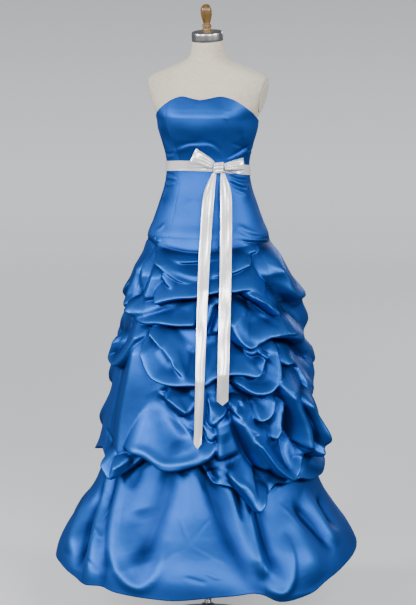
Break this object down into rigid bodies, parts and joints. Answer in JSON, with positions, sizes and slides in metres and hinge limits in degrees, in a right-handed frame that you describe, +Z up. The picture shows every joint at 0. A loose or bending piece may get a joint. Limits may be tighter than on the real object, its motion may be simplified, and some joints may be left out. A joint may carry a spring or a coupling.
{
  "type": "a-line evening dress on a dress form",
  "caption": "Strapless a-line satin evening dress with a pick-up overskirt, ribbon sash and bow, standing on a limbless dress form with pole and round foot.",
  "frame": {"origin": "on the floor, at the middle of the stand foot's flat underside, under the pole", "axes": "+Z up along the pole, -Y towards the dress's centre front, +X towards the wearer's left"},
  "size_m": [0.8584, 0.8971, 1.7409],
  "materials": {
    "blue_satin": "royal blue duchess satin with a soft sheen",
    "white_satin": "white satin ribbon",
    "zip_metal": "blue lacquered zip slider and pull",
    "linen": "cream linen cover",
    "chrome": "polished chrome",
    "turned_wood": "varnished turned wood"
  },
  "bodies": {
    "dress": {"bodice_centre_front": "blue_satin", "bodice_side_front_left": "blue_satin", "bodice_side_front_right": "blue_satin", "bodice_side_back_left": "blue_satin", "bodice_side_back_right": "blue_satin", "bodice_back_left": "blue_satin", "bodice_back_right": "blue_satin", "overskirt_front": "blue_satin", "overskirt_side_left": "blue_satin", "overskirt_side_right": "blue_satin", "overskirt_back": "blue_satin", "skirt_front_gore": "blue_satin", "skirt_side_left": "blue_satin", "skirt_side_right": "blue_satin", "skirt_back_left": "blue_satin", "skirt_back_right": "blue_satin", "sash_band": "white_satin", "bow_knot": "white_satin", "bow_loop_left": "white_satin", "bow_loop_right": "white_satin", "bow_tail_left": "white_satin", "bow_tail_right": "white_satin", "zip_slider": "zip_metal", "form_torso": "linen", "form_arm_plate_left": "linen", "form_arm_plate_right": "linen", "form_neck_cap": "chrome", "form_finial": "turned_wood", "stand_pole_and_foot": "chrome"},
    "zip_tab": {"zip_pull": "zip_metal"}
  },
  "joints": [
    {"name": "zip_pull_hinge", "type": "hinge", "parent": "dress", "child": "zip_tab", "pos_m": [0, 0.09975, 1.388], "axis": [1, 0, 0], "range_deg": [0, 165]}
  ]
}
